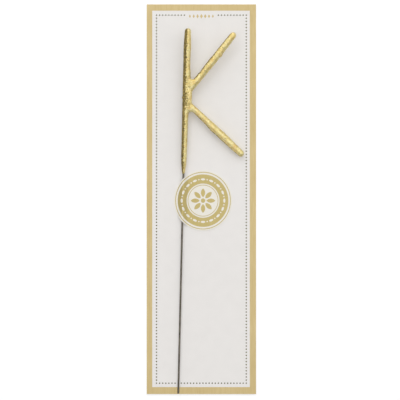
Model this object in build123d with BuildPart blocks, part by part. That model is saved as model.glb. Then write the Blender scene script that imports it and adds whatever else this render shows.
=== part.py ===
from build123d import *
import os
from math import atan, cos, degrees, radians, sin, tan

# A sparkler in the shape of a letter K, held on its backing card by one round paper seal.
# Sizes are in millimetres and angles in degrees. The card lies face up with its back at Z = 0,
# its middle at X = Y = 0, and +Y towards the top of the letter.

# Backing card
card_width = 60.0
card_length = 214.0
card_thickness = 0.6

# Gold foil stamped on the card's face
foil_thickness = 0.02
border_left = 3.0
border_right = 3.4
border_top = 3.5
border_bottom = 3.8
dot_diameter = 0.75
dot_pitch = 1.7
dot_side_margin = 5.35
dot_end_margin = 5.95
lozenge_count = 7
lozenge_spacing = 2.1
lozenge_width = 1.6
lozenge_height = 2.6
lozenge_shrink = 0.35
ornament_drop = 0.6
ornament_gap = 1.0

# Steel wires of the sparkler
wire_diameter = 1.0
handle_length = 119.8
handle_lean = 1.34
neck_x = -9.88
neck_y = 13.1
neck_height = 1.15
neck_bend_radius = 8.0
rest_clearance = 0.05

# The letter rises from the neck, off the card
letter_lean = 1.8
letter_rise = 4.0
letter_height = 80.6
upper_arm_length = 41.6
lower_arm_length = 42.1
upper_arm_angle = 36.6
lower_arm_angle = 48.3
back_start = 39.75
back_length = 5.7
arm_bend_radius = 2.2
tip_cover = 1.8

# Resistance welds between the two wires
weld_gap = 0.04
weld_length = 1.4
weld_height = 0.9
weld_inset = 1.5

# Dipped spark mix with its gold skin: radii of the finished limbs
skin_thickness = 0.15
coat_start = 0.7
collar_radius = 0.75
foot_length = 7.0
foot_radius = 1.52
stem_radius = 2.0
stem_widest = 71.0
stem_tip_radius = 1.7
back_radius = 1.95
back_shift = 0.4
arm_root_radius = 1.45
upper_arm_radius = 2.05
upper_arm_widest = 20.0
lower_arm_radius = 2.12
lower_arm_widest = 27.0
arm_tip_radius = 1.75
limb_blend_radius = 60.0
blend_reach = 0.95
web_radius = 1.9
web_thickness = 2.4
web_overrun = 0.8

# Round paper seal that holds the handle down
seal_diameter = 33.0
seal_x = 0.9
seal_y = -0.8
adhesive_thickness = 0.06
label_thickness = 0.22
tunnel_clearance = 0.08
ridge_half_angle = 56.0
ridge_foot_radius = 2.0

# Foil print on the seal
seal_foil_thickness = 0.02
outline_radius = 15.8
outline_width = 0.45
band_outer_radius = 14.4
band_inner_radius = 9.4
band_motif_count = 16
band_motif_length = 2.4
band_motif_width = 1.2
band_dot_diameter = 0.8
inner_ring_radius = 8.7
inner_ring_width = 0.35
petal_count = 8
petal_start = 1.9
petal_length = 4.8
petal_width = 2.3
rosette_eye_radius = 1.2

# Values that follow from the sizes above
wire_radius = wire_diameter / 2
end_height = foil_thickness + rest_clearance + wire_radius
handle_rise = degrees(atan((neck_height - end_height) / handle_length))
card_face = Plane.XY.offset(card_thickness)


def direction(lean, rise):
    """Unit vector that leans from +Y towards +X and rises off the card."""
    flat = cos(radians(rise))
    return Vector(sin(radians(lean)) * flat, cos(radians(lean)) * flat, sin(radians(rise)))


def rightward(lean):
    """Level unit vector to the right of a run with that lean."""
    return Vector(cos(radians(lean)), -sin(radians(lean)), 0)


neck = Vector(neck_x, neck_y, card_thickness + neck_height)
handle_end = neck - direction(handle_lean, handle_rise) * handle_length
letter_right = rightward(letter_lean)
letter_plane = Plane(neck, x_dir=letter_right, z_dir=letter_right.cross(direction(letter_lean, letter_rise)))


def limb_plane(across, along, angle):
    """Plane of the letter with its Y along a limb, at an angle from the stem, that starts at a point."""
    side = letter_plane.x_dir * cos(radians(angle)) - letter_plane.y_dir * sin(radians(angle))
    return Plane(letter_plane.from_local_coords((across, along, 0)), x_dir=side, z_dir=letter_plane.z_dir)


arm_offset = wire_diameter + weld_gap
back_end = back_start + back_length
stem_plane = limb_plane(0, 0, 0)
back_plane = limb_plane(arm_offset + back_shift, back_start, 0)
lower_plane = limb_plane(arm_offset, back_start, 180 - lower_arm_angle)
upper_plane = limb_plane(arm_offset, back_end, upper_arm_angle)

# Core wires: a straight one for the stem and handle, and a bent one for both arms

with BuildPart() as stem_wire:
    with BuildLine() as stem_line:
        stem_top = stem_plane.from_local_coords((0, letter_height - tip_cover, 0))
        FilletPolyline(handle_end, neck, stem_top, radius=neck_bend_radius)
    with BuildSketch(Plane(stem_line.line @ 0, z_dir=stem_line.line % 0)):
        Circle(wire_radius)
    sweep(path=stem_line.wire())
stem_wire.part.label = "stem_wire"

with BuildPart() as arm_wire:
    with BuildLine() as arm_line:
        FilletPolyline(
            upper_plane.from_local_coords((0, upper_arm_length - tip_cover, 0)),
            upper_plane.origin,
            lower_plane.origin,
            lower_plane.from_local_coords((0, lower_arm_length - tip_cover, 0)),
            radius=arm_bend_radius,
        )
    with BuildSketch(Plane(arm_line.line @ 0, z_dir=arm_line.line % 0)):
        Circle(wire_radius)
    sweep(path=arm_line.wire())
arm_wire.part.label = "arm_wire"

# Two weld beads fill the valleys between the wires near the ends of the arm wire's back
with BuildPart() as weld_spots:
    with BuildSketch(letter_plane):
        with Locations((arm_offset / 2, back_start + weld_inset), (arm_offset / 2, back_end - weld_inset)):
            Rectangle(arm_offset, weld_length)
    extrude(amount=weld_height / 2, both=True)
    add(stem_wire.part, mode=Mode.SUBTRACT)
    add(arm_wire.part, mode=Mode.SUBTRACT)
weld_spots.part.label = "weld_spots"

# Dipped limbs: each is a round body about its wire


def blend_radii(points):
    """Blend radius at each inner corner of an outline, limited by the shorter run beside it."""
    radii = []
    for before, corner, after in zip(points, points[1:], points[2:]):
        arrival = corner - before
        departure = after - corner
        room = blend_reach * min(arrival.length, departure.length)
        radii.append(min(limb_blend_radius, room / tan(radians(arrival.get_angle(departure) / 2))))
    return radii


def limb(plane, outline, tip_radius, length):
    """Round limb about a plane's Y axis, through (radius, along) points to a round tip."""
    with BuildPart() as body:
        with BuildSketch(plane):
            with BuildLine():
                tip = CenterArc((0, length - tip_radius), tip_radius, 0, 90)
                points = [Vector(*point) for point in outline] + [tip @ 0]
                side = FilletPolyline(*points, radius=blend_radii(points))
                Polyline(side @ 0, (0, outline[0][1]), tip @ 1)
            make_face()
        revolve(axis=Axis(plane.origin, plane.y_dir))
    return body.part


def rounded_back(radius):
    """Round body along the arm wire's back and a little to its right, with a ball at each end."""
    with BuildPart() as body:
        with BuildSketch(back_plane):
            with BuildLine():
                bottom = CenterArc((0, 0), radius, -90, 90)
                top = CenterArc((0, back_length), radius, 0, 90)
                Line(bottom @ 1, top @ 0)
                Line(top @ 1, bottom @ 0)
            make_face()
        revolve(axis=Axis(back_plane.origin, back_plane.y_dir))
    return body.part


def web(root, angle, way, inset):
    """Plate in the crotch where an arm leaves the stem at an angle, up (way 1) or down (way -1)."""
    side = arm_root_radius - inset
    rounding = web_radius + inset
    arm_root = Vector(arm_offset, root)
    arm_way = Vector(sin(radians(angle)), way * cos(radians(angle)))
    arm_side = Vector(-way * arm_way.Y, way * arm_way.X)
    run = (side - arm_offset + side * abs(arm_way.Y)) / arm_way.X
    corner = arm_root + arm_side * side + arm_way * run
    reach = rounding / tan(radians(angle / 2)) + web_overrun - inset
    with BuildPart() as plate:
        with BuildSketch(letter_plane):
            with BuildLine():
                edge = FilletPolyline(
                    corner + Vector(0, way * reach),
                    corner,
                    corner + arm_way * reach,
                    radius=rounding,
                )
                arm_foot = edge @ 1 - arm_side * side
                stem_foot = edge @ 0 - Vector(side, 0)
                Polyline(edge @ 1, arm_foot, arm_root, stem_foot, edge @ 0)
            make_face()
        extrude(amount=web_thickness / 2 - inset, both=True)
    return plate.part


def dipped_letter(inset):
    """The letter's outer form, drawn in by inset."""
    stem_outline = [
        (collar_radius - inset, coat_start + inset),
        (foot_radius - inset, coat_start + foot_length),
        (stem_radius - inset, stem_widest),
    ]
    upper_outline = [(arm_root_radius - inset, 0), (upper_arm_radius - inset, upper_arm_widest)]
    lower_outline = [(arm_root_radius - inset, 0), (lower_arm_radius - inset, lower_arm_widest)]
    bodies = [
        limb(stem_plane, stem_outline, stem_tip_radius - inset, letter_height - inset),
        rounded_back(back_radius - inset),
        limb(upper_plane, upper_outline, arm_tip_radius - inset, upper_arm_length - inset),
        limb(lower_plane, lower_outline, arm_tip_radius - inset, lower_arm_length - inset),
        web(back_end, upper_arm_angle, 1, inset),
        web(back_start, lower_arm_angle, -1, inset),
    ]
    with BuildPart() as letter:
        for body in bodies:
            add(body)
    return letter.part


core_form = dipped_letter(skin_thickness)
outer_form = dipped_letter(0)

with BuildPart() as spark_composition:
    add(core_form)
    add(stem_wire.part, mode=Mode.SUBTRACT)
    add(arm_wire.part, mode=Mode.SUBTRACT)
    add(weld_spots.part, mode=Mode.SUBTRACT)
spark_composition.part.label = "spark_composition"

with BuildPart() as gold_coat:
    add(outer_form)
    add(core_form, mode=Mode.SUBTRACT)
    add(stem_wire.part, mode=Mode.SUBTRACT)
gold_coat.part.label = "gold_coat"

# Backing card and its stamped foil

with BuildPart() as backing_card:
    Box(card_width, card_length, card_thickness, align=(Align.CENTER, Align.CENTER, Align.MIN))
backing_card.part.label = "backing_card"

with BuildPart() as foil_border:
    with BuildSketch(card_face):
        Rectangle(card_width, card_length)
        with Locations(((border_left - border_right) / 2, (border_bottom - border_top) / 2)):
            Rectangle(
                card_width - border_left - border_right,
                card_length - border_top - border_bottom,
                mode=Mode.SUBTRACT,
            )
    extrude(amount=foil_thickness)
foil_border.part.label = "foil_border"

dot_x = card_width / 2 - dot_side_margin
dot_y = card_length / 2 - dot_end_margin
row_steps = round(2 * dot_x / dot_pitch)
side_steps = round(2 * dot_y / dot_pitch)
row_places = [dot_x * (2 * step / row_steps - 1) for step in range(row_steps + 1)]
side_places = [dot_y * (2 * step / side_steps - 1) for step in range(1, side_steps)]
ornament_half_length = (lozenge_count - 1) / 2 * lozenge_spacing + lozenge_width / 2 + ornament_gap

with BuildPart() as foil_dots:
    with BuildSketch(card_face):
        with Locations([(x, -dot_y) for x in row_places]):
            Circle(dot_diameter / 2)
        with Locations([(x, dot_y) for x in row_places if abs(x) > ornament_half_length]):
            Circle(dot_diameter / 2)
        with Locations([(x, y) for x in (-dot_x, dot_x) for y in side_places]):
            Circle(dot_diameter / 2)
    extrude(amount=foil_thickness)
foil_dots.part.label = "foil_dots"

# A row of lozenges, smaller towards its ends, stands in the gap of the top row
with BuildPart() as foil_ornament:
    with BuildSketch(card_face):
        for place in range(lozenge_count):
            step = place - (lozenge_count - 1) / 2
            size = 1 - lozenge_shrink * abs(step) / (lozenge_count / 2)
            half_width = lozenge_width * size / 2
            half_height = lozenge_height * size / 2
            with Locations((step * lozenge_spacing, dot_y - ornament_drop)):
                Polygon((half_width, 0), (0, half_height), (-half_width, 0), (0, -half_height))
    extrude(amount=foil_thickness)
foil_ornament.part.label = "foil_ornament"

# Paper seal: its layers lie flat on the card and bend over the handle in a ridge

crest_radius = wire_radius + tunnel_clearance
ridge_x = neck_x + (seal_y - neck_y) * tan(radians(handle_lean))
ridge_plane = Plane(
    (ridge_x, seal_y, card_thickness),
    x_dir=rightward(handle_lean),
    z_dir=-direction(handle_lean, 0),
)
ridge_peak = neck_height + crest_radius / sin(radians(ridge_half_angle))
ridge_half_width = ridge_peak * tan(radians(ridge_half_angle))
ridge_take_up = 2 * ridge_half_width * (1 / sin(radians(ridge_half_angle)) - 1)
seal_radius = seal_diameter / 2
draw_in = 1 - ridge_take_up / seal_diameter
sheet_reach = seal_diameter + abs(seal_x - ridge_x)
cutter_height = ridge_peak + ridge_foot_radius
label_top = adhesive_thickness + label_thickness


def ridge_points(lift):
    """Corners of a sheet's cross-section over the handle, that far above the card."""
    peak = neck_height + (crest_radius + lift) / sin(radians(ridge_half_angle))
    half_width = (peak - lift) * tan(radians(ridge_half_angle))
    return [(-sheet_reach, lift), (-half_width, lift), (0, peak), (half_width, lift), (sheet_reach, lift)]


def ridge_radii(lift):
    """Bend radii at the three inner corners of that cross-section."""
    return [ridge_foot_radius - lift, crest_radius + lift, ridge_foot_radius - lift]


def bent_sheet(bottom, top):
    """Wide sheet between two heights above the card, bent over the handle."""
    with BuildPart() as sheet:
        with BuildSketch(ridge_plane):
            with BuildLine():
                under = FilletPolyline(*ridge_points(bottom), radius=ridge_radii(bottom))
                over = FilletPolyline(*ridge_points(top), radius=ridge_radii(top))
                Line(under @ 0, over @ 0)
                Line(under @ 1, over @ 1)
            make_face()
        extrude(amount=seal_diameter, both=True)
    return sheet.part


def print_ring(outer, width):
    """Adds a ring of the print to the current sketch, drawn in across by the ridge."""
    inner = outer - width
    Ellipse(outer * draw_in, outer)
    Ellipse(inner * draw_in, inner, mode=Mode.SUBTRACT)


adhesive_sheet = bent_sheet(0, adhesive_thickness)
paper_sheet = bent_sheet(adhesive_thickness, label_top)
print_sheet = bent_sheet(label_top, label_top + seal_foil_thickness)

with BuildPart() as seal_adhesive:
    with BuildSketch(card_face):
        with Locations((seal_x, seal_y)):
            Ellipse(seal_radius * draw_in, seal_radius)
    extrude(amount=cutter_height)
    add(adhesive_sheet, mode=Mode.INTERSECT)
seal_adhesive.part.label = "seal_adhesive"

with BuildPart() as seal_label:
    with BuildSketch(card_face):
        with Locations((seal_x, seal_y)):
            Ellipse(seal_radius * draw_in, seal_radius)
    extrude(amount=cutter_height)
    add(paper_sheet, mode=Mode.INTERSECT)
seal_label.part.label = "seal_label"

# Print: a thin outline, a wide band with a wreath left bare in it, and a thin inner ring
band_middle = (band_outer_radius + band_inner_radius) / 2 * (1 + draw_in) / 2
motif_angle = 360 / band_motif_count

with BuildPart() as seal_foil_rings:
    with BuildSketch(card_face):
        with Locations((seal_x, seal_y)):
            print_ring(outline_radius, outline_width)
    extrude(amount=cutter_height)
    with BuildSketch(card_face):
        with Locations((seal_x, seal_y)):
            print_ring(band_outer_radius, band_outer_radius - band_inner_radius)
            with PolarLocations(band_middle, band_motif_count):
                Ellipse(band_motif_width / 2, band_motif_length / 2, mode=Mode.SUBTRACT)
            with PolarLocations(band_middle, band_motif_count, start_angle=motif_angle / 2):
                Circle(band_dot_diameter / 2, mode=Mode.SUBTRACT)
    extrude(amount=cutter_height)
    with BuildSketch(card_face):
        with Locations((seal_x, seal_y)):
            print_ring(inner_ring_radius, inner_ring_width)
    extrude(amount=cutter_height)
    add(print_sheet, mode=Mode.INTERSECT)
seal_foil_rings.part.label = "seal_foil_rings"

# Print: a rosette of pointed petals round a small eye
with BuildSketch() as petal:
    with BuildLine():
        petal_side = ThreePointArc(
            (petal_start, 0),
            (petal_start + petal_length / 2, petal_width / 2),
            (petal_start + petal_length, 0),
        )
        mirror(petal_side, about=Plane.XZ)
    make_face()

with BuildPart() as seal_foil_rosette:
    with BuildSketch(card_face):
        with Locations((seal_x, seal_y)):
            Circle(rosette_eye_radius)
            with PolarLocations(0, petal_count):
                add(petal.sketch)
    extrude(amount=cutter_height)
    add(print_sheet, mode=Mode.INTERSECT)
seal_foil_rosette.part.label = "seal_foil_rosette"

pieces = [
    stem_wire,
    arm_wire,
    weld_spots,
    spark_composition,
    gold_coat,
    backing_card,
    foil_border,
    foil_dots,
    foil_ornament,
    seal_adhesive,
    seal_label,
    seal_foil_rings,
    seal_foil_rosette,
]
os.makedirs("parts", exist_ok=True)
for piece in pieces:
    export_step(piece.part, f"parts/{piece.part.label}.step")
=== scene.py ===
import bmesh
import bpy
import numpy as np
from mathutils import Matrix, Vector, noise
from mathutils.bvhtree import BVHTree


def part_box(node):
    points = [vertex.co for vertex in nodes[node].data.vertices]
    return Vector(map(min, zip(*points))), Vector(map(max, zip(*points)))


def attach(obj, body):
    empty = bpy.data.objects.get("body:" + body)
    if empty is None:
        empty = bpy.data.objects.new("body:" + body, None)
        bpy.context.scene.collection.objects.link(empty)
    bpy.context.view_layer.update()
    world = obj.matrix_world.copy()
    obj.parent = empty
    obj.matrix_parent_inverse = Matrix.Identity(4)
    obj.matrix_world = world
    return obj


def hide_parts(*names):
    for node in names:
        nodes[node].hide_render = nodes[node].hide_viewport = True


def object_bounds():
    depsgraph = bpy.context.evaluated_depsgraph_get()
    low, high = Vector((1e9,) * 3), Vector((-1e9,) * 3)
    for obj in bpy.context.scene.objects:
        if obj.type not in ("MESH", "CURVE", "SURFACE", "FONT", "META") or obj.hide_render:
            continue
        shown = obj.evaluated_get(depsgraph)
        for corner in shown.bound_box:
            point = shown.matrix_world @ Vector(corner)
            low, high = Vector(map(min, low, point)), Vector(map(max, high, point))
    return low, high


# A letter sparkler held on its backing card by a round paper seal.
# Everything is in metres in the frame's own axes: the card lies face up, +Y to the letter's top.
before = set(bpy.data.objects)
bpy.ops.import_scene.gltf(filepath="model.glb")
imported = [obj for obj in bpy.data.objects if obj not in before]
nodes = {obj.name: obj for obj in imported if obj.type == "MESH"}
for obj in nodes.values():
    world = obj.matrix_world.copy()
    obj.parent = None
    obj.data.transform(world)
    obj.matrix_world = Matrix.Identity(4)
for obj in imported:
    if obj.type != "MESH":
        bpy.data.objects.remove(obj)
cad_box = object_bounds()
MM = 0.001

# Camera straight above the card, as far to the side of its middle as in the photograph
VIEW_WIDTH = 219.67 * MM
VIEW_CENTRE = (-0.76 * MM, -0.45 * MM)
CAMERA_HEIGHT = 1.2
SENSOR_WIDTH = 36.0

# Floor sheet, a little below the card so that their faces don't coincide
FLOOR_SIZE = 4.0
FLOOR_DROP = 0.05 * MM

# Light of the dim room, and of what glows in it:
# strength, direction, and the cosines of the angles between which a glow fades in
ROOM_LIGHT = 0.24
GLOWS = {
    "softbox overhead": (0.35, (0.0, 0.34, 0.94), 0.57, 0.91),
    "window at the upper left": (0.8, (-0.55, 0.72, 0.42), 0.78, 0.96),
    "wall at the right": (0.7, (0.87, 0.1, 0.48), 0.75, 0.95),
    "reflector at the lower left": (0.6, (-0.6, -0.7, 0.38), 0.8, 0.96),
    "sweep below the horizon": (0.8, (0.0, 0.0, -1.0), -0.08, 0.0),
}

# Square lamps: place, point that they face, side, power, and whether they cast shadows
LAMPS = {
    "key": ((0.0, 1.6, 1.25), (0.0, 0.02, 0.0), 1.2, 6.0, True),
    "fill": ((0.0, 0.7, 1.6), (0.0, 0.0, 0.0), 3.0, 25.5, False),
}

# The letter's gold skin, in millimetres. A face nearer to the core than this is the coat's lining
LINING_LIMIT = 0.03
WELD_DISTANCE = 0.001
# Mesh size, rounds and step of the filling of creases, then of the smoothing
CREASE_VOXEL = 0.3
CREASE_FILLS = 400
CREASE_STEP = 0.7
SKIN_VOXEL = 0.17
SMOOTHINGS = 40
SMOOTHING_STEP = 0.5
# Growth all over, then size, height and noise seed of each layer of bumps
SKIN_SWELL = 0.08
DIP_LAYERS = {
    "lumps": (6.0, 0.06, 1.7),
    "pebbles": (1.0, 0.1, 4.1),
    "grains": (0.5, 0.03, 7.3),
}
# Drips that the photograph shows: X, Y, reach and height
DRIPS = [
    (10.9, 78.3, 1.65, 0.4),
    (-10.6, 55.6, 1.2, 0.45),
    (5.2, 37.6, 4.5, 0.3),
    (-5.4, 67.5, 6.0, 0.45),
]
# Distances to the right of the stem's line over which the stem gives way to the arms
STEM_EDGE = (1.8, 3.2)
# How far below the letter the wire still counts for the stem's line
NECK_REACH = 2.0
# How far a face turns to -X, as a cosine, where it begins to darken and where it is fully dark; on the
# arms this darkening is painted shade
STEM_FLANK = (-0.25, 0.5)
ARM_FLANK = (0.45, 0.85)
# Thinness of the paint all over the arms
ARM_WEAR = 0.04


# Short calls for node trees


def node(tree, kind, inputs=None, **settings):
    """Adds a node, sets its properties, and sets or links its inputs by name or number."""
    made = tree.nodes.new(kind)
    for name, value in settings.items():
        setattr(made, name, value)
    for name, value in (inputs or {}).items():
        if isinstance(value, bpy.types.NodeSocket):
            tree.links.new(value, made.inputs[name])
        else:
            made.inputs[name].default_value = value
    return made


def places(tree):
    """The surface's own coordinates, in metres."""
    return node(tree, "ShaderNodeTexCoord").outputs["Object"]


def stretched(tree, vector, scale):
    """Coordinates scaled by a factor on each axis; a factor under 1 draws a pattern out along it."""
    return node(tree, "ShaderNodeMapping", {"Vector": vector, "Scale": scale}).outputs["Vector"]


def clouds(tree, vector, size, detail=3.0, roughness=0.5):
    """Soft noise, from 0 to 1, whose features are about that size."""
    inputs = {"Vector": vector, "Scale": 1 / size, "Detail": detail, "Roughness": roughness}
    return node(tree, "ShaderNodeTexNoise", inputs).outputs[0]


def cells(tree, vector, size):
    """A random value for each cell of about that size."""
    colour = node(tree, "ShaderNodeTexVoronoi", {"Vector": vector, "Scale": 1 / size}).outputs["Color"]
    return node(tree, "ShaderNodeSeparateColor", {"Color": colour}).outputs[0]


def remap(tree, value, low, high, to_low=0.0, to_high=1.0, smooth=False):
    """A value's range turned into another, held at its ends."""
    inputs = {"Value": value, "From Min": low, "From Max": high, "To Min": to_low, "To Max": to_high}
    kind = "SMOOTHSTEP" if smooth else "LINEAR"
    return node(tree, "ShaderNodeMapRange", inputs, interpolation_type=kind).outputs["Result"]


def calc(tree, operation, first, second):
    """One step of arithmetic."""
    return node(tree, "ShaderNodeMath", {0: first, 1: second}, operation=operation).outputs[0]


def blend(tree, factor, first, second):
    """Colour between two, by a factor."""
    return node(tree, "ShaderNodeMix", {0: factor, 6: first, 7: second}, data_type="RGBA").outputs[2]


def raised(tree, height, distance, normal=None):
    """Normal of a surface raised by a height from 0 to 1 times a distance."""
    inputs = {"Height": height, "Distance": distance}
    if normal is not None:
        inputs["Normal"] = normal
    return node(tree, "ShaderNodeBump", inputs).outputs["Normal"]


def material(name, paint):
    """A material whose nodes a function adds: it takes the tree and gives the surface's inputs."""
    made = bpy.data.materials.new(name)
    made.use_nodes = True
    tree = made.node_tree
    tree.nodes.clear()
    surface = node(tree, "ShaderNodeBsdfPrincipled", paint(tree))
    node(tree, "ShaderNodeOutputMaterial", {"Surface": surface.outputs[0]})
    return made


def tone(red, green, blue):
    """Shader colour of a screen colour, each part from 0 to 255, by the sRGB curve."""

    def linear(part):
        share = part / 255
        return share / 12.92 if share <= 0.04045 else ((share + 0.055) / 1.055) ** 2.4

    return (linear(red), linear(green), linear(blue), 1.0)


# Finishes


def gold_paint(tree):
    """Gold paint on a pebbly dip, with dark grains of spark mix in random specks and on the flanks that
    face -X; on the arms' -X edges this darkening is painted shade.
    """
    at = places(tree)
    # Darkening of the flanks that face -X: dark mix on the stem's left flank, and painted shade along the
    # arms' -X edges
    dark_left_flank = node(tree, "ShaderNodeAttribute", attribute_name="dark_left_flank").outputs["Fac"]
    specks = remap(tree, clouds(tree, at, 0.8 * MM, detail=2.0), 0.35, 0.65, 0.0, 0.8)
    dark_specks_and_flanks = remap(tree, calc(tree, "ADD", dark_left_flank, specks), 0.75, 0.95, smooth=True)
    warmth = remap(tree, clouds(tree, at, 2.5 * MM), 0.35, 0.65)
    gold = blend(tree, warmth, tone(205, 181, 108), tone(215, 202, 140))
    patches = remap(tree, clouds(tree, at, 1.7 * MM), 0.52, 0.68, 0.0, 0.4)
    gold = blend(tree, patches, gold, tone(212, 164, 96))
    # Random cells lightened toward cream: tone of the flakes in the paint, and painted glints
    flake_tone_and_glints = remap(tree, cells(tree, at, 0.5 * MM), 0.5, 1.0, 0.0, 0.35)
    gold = blend(tree, flake_tone_and_glints, gold, tone(255, 248, 210))
    grains = remap(tree, clouds(tree, at, 0.6 * MM), 0.35, 0.65)
    mix = blend(tree, grains, tone(56, 45, 11), tone(164, 143, 74))
    fine = clouds(tree, at, 0.3 * MM, detail=4.0)
    gold_roughness = remap(tree, fine, 0.3, 0.7, 0.3, 0.38)
    mix_roughness = calc(tree, "MULTIPLY", dark_specks_and_flanks, 0.25)
    return {
        "Base Color": blend(tree, dark_specks_and_flanks, gold, mix),
        "Metallic": remap(tree, dark_specks_and_flanks, 0.0, 1.0, 0.55, 0.3),
        "Roughness": calc(tree, "ADD", gold_roughness, mix_roughness),
        "Normal": raised(tree, fine, 0.02 * MM),
    }


def spark_mix(tree):
    """Dark dried paste full of metal filings."""
    at = places(tree)
    grains = clouds(tree, at, 0.35 * MM, detail=5.0, roughness=0.65)
    filings = remap(tree, cells(tree, at, 0.2 * MM), 0.86, 0.92)
    paste = blend(tree, grains, tone(48, 46, 42), tone(98, 94, 84))
    return {
        "Base Color": blend(tree, filings, paste, tone(176, 172, 164)),
        "Metallic": filings,
        "Roughness": remap(tree, grains, 0.2, 0.8, 0.9, 0.55),
        "Normal": raised(tree, grains, 0.08 * MM),
    }


def drawn_steel(dark, light, rough):
    """Finish of drawn wire: lines along it and blotches of scale, between two tones."""

    def paint(tree):
        at = places(tree)
        lines = clouds(tree, stretched(tree, at, (1.0, 0.03, 1.0)), 0.12 * MM, detail=2.0)
        blotches = clouds(tree, at, 3.0 * MM, detail=5.0)
        shade = calc(tree, "MULTIPLY", lines, blotches)
        return {
            "Base Color": blend(tree, remap(tree, shade, 0.12, 0.42), dark, light),
            "Metallic": 1.0,
            "Roughness": remap(tree, blotches, 0.3, 0.7, rough - 0.08, rough + 0.1),
            "Normal": raised(tree, lines, 0.01 * MM),
        }

    return paint


def card_board(tree):
    """Coated white face; natural board with fibres and flecks on the back and the cut edges."""
    at = places(tree)
    facing = node(tree, "ShaderNodeTexCoord").outputs["Normal"]
    up = node(tree, "ShaderNodeSeparateXYZ", {"Vector": facing}).outputs["Z"]
    front = remap(tree, up, 0.4, 0.6)
    mottle = clouds(tree, at, 6.0 * MM, detail=4.0)
    fibres = clouds(tree, stretched(tree, at, (1.0, 0.25, 1.0)), 0.5 * MM, detail=5.0, roughness=0.7)
    face = blend(tree, mottle, tone(219, 216, 213), tone(225, 222, 219))
    board = blend(tree, fibres, tone(196, 188, 174), tone(226, 220, 208))
    flecks = remap(tree, cells(tree, at, 0.9 * MM), 0.955, 0.965)
    board = blend(tree, calc(tree, "MULTIPLY", flecks, 0.5), board, tone(142, 128, 108))
    return {
        "Base Color": blend(tree, front, board, face),
        "Roughness": remap(tree, fibres, 0.3, 0.7, 0.55, 0.8),
        "Normal": raised(tree, fibres, 0.012 * MM),
    }


def hot_foil(tree):
    """Gold foil pressed into board: satin, slightly uneven, with fine rolling lines."""
    at = places(tree)
    roll = clouds(tree, at, 28.0 * MM, detail=1.0)
    lines = clouds(tree, stretched(tree, at, (1.0, 0.06, 1.0)), 0.4 * MM, detail=3.0)
    press = clouds(tree, at, 0.6 * MM, detail=4.0)
    gold = blend(tree, roll, tone(184, 164, 117), tone(195, 177, 133))
    normal = raised(tree, roll, 0.5 * MM)
    return {
        "Base Color": blend(tree, remap(tree, lines, 0.3, 0.7, 0.0, 0.5), gold, tone(173, 151, 100)),
        "Metallic": 0.7,
        "Roughness": remap(tree, press, 0.3, 0.7, 0.3, 0.36),
        "Normal": raised(tree, press, 0.003 * MM, normal),
    }


def dot_foil(tree):
    """Bronze foil of the small dots, dulled by the board's grain."""
    at = places(tree)
    press = clouds(tree, at, 0.3 * MM, detail=3.0)
    return {
        "Base Color": blend(tree, press, tone(71, 67, 39), tone(98, 92, 59)),
        "Metallic": 1.0,
        "Roughness": remap(tree, press, 0.3, 0.7, 0.35, 0.5),
        "Normal": raised(tree, press, 0.004 * MM),
    }


def label_paper(tree):
    """Smooth white label paper with a faint fibre."""
    at = places(tree)
    fibres = clouds(tree, at, 0.35 * MM, detail=5.0, roughness=0.7)
    cloudy = clouds(tree, at, 4.0 * MM)
    white = blend(tree, cloudy, tone(219, 215, 205), tone(227, 223, 213))
    return {
        "Base Color": blend(tree, remap(tree, fibres, 0.2, 0.8, 0.0, 0.25), white, tone(222, 217, 208)),
        "Roughness": remap(tree, fibres, 0.3, 0.7, 0.5, 0.7),
        "Normal": raised(tree, fibres, 0.008 * MM),
    }


def seal_gold(tree):
    """Gold ink printed on label paper, duller than the card's foil."""
    at = places(tree)
    press = clouds(tree, at, 0.4 * MM, detail=4.0)
    cloudy = clouds(tree, at, 5.0 * MM)
    ink = blend(tree, cloudy, tone(181, 164, 103), tone(194, 177, 121))
    return {
        "Base Color": blend(tree, remap(tree, press, 0.35, 0.75, 0.0, 0.5), ink, tone(168, 150, 88)),
        "Metallic": 0.4,
        "Roughness": remap(tree, press, 0.3, 0.7, 0.4, 0.55),
        "Normal": raised(tree, press, 0.008 * MM),
    }


def glue(tree):
    """Pale label glue, pulled into threads."""
    at = places(tree)
    threads = clouds(tree, stretched(tree, at, (1.0, 0.2, 1.0)), 0.8 * MM, detail=4.0)
    return {
        "Base Color": blend(tree, threads, tone(226, 214, 176), tone(240, 232, 204)),
        "Roughness": remap(tree, threads, 0.3, 0.7, 0.15, 0.4),
        "Normal": raised(tree, threads, 0.02 * MM),
    }


def pale_floor(tree):
    """White paper sweep with the faintest mottle."""
    mottle = clouds(tree, places(tree), 50.0 * MM)
    return {
        "Base Color": blend(tree, mottle, (0.97, 0.97, 0.97, 1.0), (0.985, 0.985, 0.985, 1.0)),
        "Roughness": 0.9,
    }


black_steel = drawn_steel(tone(76, 71, 64), tone(134, 127, 115), 0.38)
bright_steel = drawn_steel(tone(120, 118, 114), tone(180, 178, 174), 0.3)
finishes = {
    "stem_wire": black_steel,
    "arm_wire": black_steel,
    "weld_spots": bright_steel,
    "spark_composition": spark_mix,
    "backing_card": card_board,
    "foil_border": hot_foil,
    "foil_dots": dot_foil,
    "foil_ornament": hot_foil,
    "seal_adhesive": glue,
    "seal_label": label_paper,
    "seal_foil_rings": seal_gold,
    "seal_foil_rosette": seal_gold,
}
for name, paint in finishes.items():
    nodes[name].data.materials.clear()
    nodes[name].data.materials.append(material(name + "_finish", paint))


# Gold skin: the coat's outer form, softened where limbs meet and roughened like a dried dip.
# It is worked out in millimetres and turned into metres at the end.


def in_millimetres(mesh):
    """An editable copy of a mesh, in millimetres."""
    made = bmesh.new()
    made.from_mesh(mesh)
    bmesh.ops.scale(made, vec=(1 / MM, 1 / MM, 1 / MM), verts=made.verts)
    return made


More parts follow.
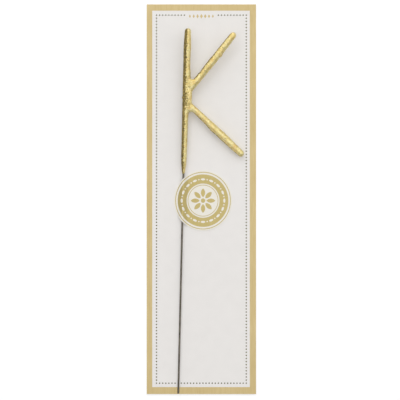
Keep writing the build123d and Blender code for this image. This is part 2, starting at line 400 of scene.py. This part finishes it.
def outer_form(coat, core):
    """Closed mesh of the coat's outer faces, without the lining that lies on the core."""
    inner = in_millimetres(core.data)
    core_tree = BVHTree.FromBMesh(inner)
    inner.free()
    shell = in_millimetres(coat.data)
    lining = []
    for face in shell.faces:
        gap = core_tree.find_nearest(face.calc_center_median())[3]
        if gap < LINING_LIMIT:
            lining.append(face)
    bmesh.ops.delete(shell, geom=lining, context="FACES")
    bmesh.ops.remove_doubles(shell, verts=shell.verts, dist=WELD_DISTANCE)
    bmesh.ops.holes_fill(shell, edges=shell.edges, sides=0)
    bmesh.ops.recalc_face_normals(shell, faces=shell.faces)
    mesh = bpy.data.meshes.new("outer_form")
    shell.to_mesh(mesh)
    shell.free()
    return mesh


def even_mesh(mesh, voxel):
    """The mesh made of even quads of about that size."""
    rough = bpy.data.objects.new("rough_form", mesh)
    bpy.context.scene.collection.objects.link(rough)
    remesh = rough.modifiers.new("even", "REMESH")
    remesh.mode = "VOXEL"
    remesh.voxel_size = voxel
    made = bpy.data.meshes.new_from_object(rough.evaluated_get(bpy.context.evaluated_depsgraph_get()))
    bpy.data.objects.remove(rough)
    return made


def read(mesh, part, name, width, kind):
    """One property of a mesh's parts as an array."""
    held = getattr(mesh, part)
    values = np.empty(len(held) * width, kind)
    held.foreach_get(name, values)
    return values.reshape(-1, width)


def set_points(mesh, points):
    """Moves the mesh's vertices to those points, and gives their normals there."""
    mesh.vertices.foreach_set("co", points.astype(np.float32).ravel())
    mesh.update()
    return read(mesh, "vertices", "normal", 3, np.float32).astype(float)


def around(points, edges):
    """Mean place of each point's neighbours."""
    count = np.bincount(edges.ravel(), minlength=len(points))
    mean = np.empty_like(points)
    for axis in range(3):
        first = np.bincount(edges[:, 0], points[edges[:, 1], axis], len(points))
        second = np.bincount(edges[:, 1], points[edges[:, 0], axis], len(points))
        mean[:, axis] = (first + second) / count
    return mean


def bumps(points, size, seed):
    """Smooth noise from -1 to 1 at each point."""
    shift = Vector((seed, 2 * seed, 3 * seed))
    return np.array([noise.noise(Vector(p) / size + shift) for p in points])


def smoothstep(value, low, high):
    """From 0 at low to 1 at high, level at both ends."""
    share = np.clip((value - low) / (high - low), 0, 1)
    return share * share * (3 - 2 * share)


def stem_line(wire, low):
    """X at Y = 0 and slope of the line through the wire above a height, in millimetres."""
    points = read(wire.data, "vertices", "co", 3, np.float32) / MM
    run = points[points[:, 1] > low]
    slope, start = np.polyfit(run[:, 1], run[:, 0], 1)
    return start, slope


def dark_flank_share(points, normals):
    """How dark the flanks that face -X are, wider on the stem than on the arms; on the arms it is painted
    shade, added to their wear.
    """
    start, slope = stem_line(nodes["stem_wire"], points[:, 1].min() - NECK_REACH)
    across = points[:, 0] - (start + slope * points[:, 1])
    on_stem = 1 - smoothstep(across, *STEM_EDGE)
    left = -normals[:, 0]
    stem_dark_flank = smoothstep(left, *STEM_FLANK)
    # Along the arms' -X edges the darkening is painted shade, on top of their wear
    arm_wear_and_shade = ARM_WEAR + smoothstep(left, *ARM_FLANK)
    return on_stem * stem_dark_flank + (1 - on_stem) * arm_wear_and_shade


def fill_creases(mesh):
    """Fills the hollows that face up or down, where the dip ran together between the limbs."""
    points = read(mesh, "vertices", "co", 3, np.float32).astype(float)
    edges = read(mesh, "edges", "vertices", 2, np.int32)
    for _ in range(CREASE_FILLS):
        normals = set_points(mesh, points)
        hollow = np.einsum("ij,ij->i", around(points, edges) - points, normals)
        points += normals * (np.maximum(hollow, 0) * np.abs(normals[:, 2]) * CREASE_STEP)[:, None]
    set_points(mesh, points)


def gold_skin():
    """The letter's visible gold skin as one closed mesh."""
    coarse = even_mesh(outer_form(nodes["gold_coat"], nodes["spark_composition"]), CREASE_VOXEL)
    fill_creases(coarse)
    mesh = even_mesh(coarse, SKIN_VOXEL)
    points = read(mesh, "vertices", "co", 3, np.float32).astype(float)
    edges = read(mesh, "edges", "vertices", 2, np.int32)
    for _ in range(SMOOTHINGS):
        points += (around(points, edges) - points) * SMOOTHING_STEP
    normals = set_points(mesh, points)
    # Darkening of the -X flanks, which on the arms is painted shade
    dark_left_flank = dark_flank_share(points, normals)
    rise = np.full(len(points), SKIN_SWELL)
    for size, height, seed in DIP_LAYERS.values():
        rise += height * bumps(points, size, seed)
    for x, y, reach, height in DRIPS:
        away = np.hypot(points[:, 0] - x, points[:, 1] - y)
        rise += height * (1 - smoothstep(away, 0, reach))
    points += normals * rise[:, None]
    low, high = (np.array(corner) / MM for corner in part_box("gold_coat"))
    points = np.clip(points, low, high) * MM
    set_points(mesh, points)
    mesh.attributes.new("dark_left_flank", "FLOAT", "POINT").data.foreach_set("value", dark_left_flank.astype(np.float32))
    mesh.polygons.foreach_set("use_smooth", [True] * len(mesh.polygons))
    mesh.materials.clear()
    mesh.materials.append(material("gold_paint_finish", gold_paint))
    skin = bpy.data.objects.new("gold_skin", mesh)
    bpy.context.scene.collection.objects.link(skin)
    return skin


skin = gold_skin()
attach(skin, "sparkler")
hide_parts("gold_coat")


# Floor, light and camera


def floor():
    """A wide pale sheet just under the card."""
    half = FLOOR_SIZE / 2
    mesh = bpy.data.meshes.new("floor")
    corners = [(-half, -half, 0), (half, -half, 0), (half, half, 0), (-half, half, 0)]
    mesh.from_pydata(corners, [], [(0, 1, 2, 3)])
    mesh.materials.append(material("floor_finish", pale_floor))
    made = bpy.data.objects.new("floor", mesh)
    made.location.z = cad_box[0].z - FLOOR_DROP
    bpy.context.scene.collection.objects.link(made)


def studio():
    """World light: a dim room with a few wide soft glows."""
    world = bpy.data.worlds.new("studio")
    world.use_nodes = True
    tree = world.node_tree
    tree.nodes.clear()
    way = node(tree, "ShaderNodeTexCoord").outputs["Generated"]
    strength = ROOM_LIGHT
    for light, centre, low, high in GLOWS.values():
        facing = node(tree, "ShaderNodeVectorMath", {0: way, 1: centre}, operation="DOT_PRODUCT")
        glow = remap(tree, facing.outputs["Value"], low, high, 0.0, light, smooth=True)
        strength = calc(tree, "ADD", glow, strength)
    background = node(tree, "ShaderNodeBackground", {"Color": (1, 1, 1, 1), "Strength": strength})
    node(tree, "ShaderNodeOutputWorld", {"Surface": background.outputs[0]})
    bpy.context.scene.world = world


def softbox(name, place, aim, size, power, shadow):
    """A square soft light that faces a point."""
    lamp = bpy.data.lights.new(name, "AREA")
    lamp.size = size
    lamp.energy = power
    lamp.use_shadow = shadow
    made = bpy.data.objects.new(name, lamp)
    made.location = place
    made.rotation_euler = (Vector(aim) - Vector(place)).to_track_quat("-Z", "Y").to_euler()
    bpy.context.scene.collection.objects.link(made)


def camera():
    """Long lens straight above the card, with the photograph's frame."""
    lens = bpy.data.cameras.new("camera")
    lens.sensor_width = SENSOR_WIDTH
    lens.lens = SENSOR_WIDTH * CAMERA_HEIGHT / VIEW_WIDTH
    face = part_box("backing_card")[1].z
    made = bpy.data.objects.new("camera", lens)
    made.location = (*VIEW_CENTRE, face + CAMERA_HEIGHT)
    bpy.context.scene.collection.objects.link(made)
    bpy.context.scene.camera = made


floor()
studio()
for name, lamp in LAMPS.items():
    softbox(name, *lamp)
camera()
bpy.context.scene.view_settings.view_transform = "Standard"
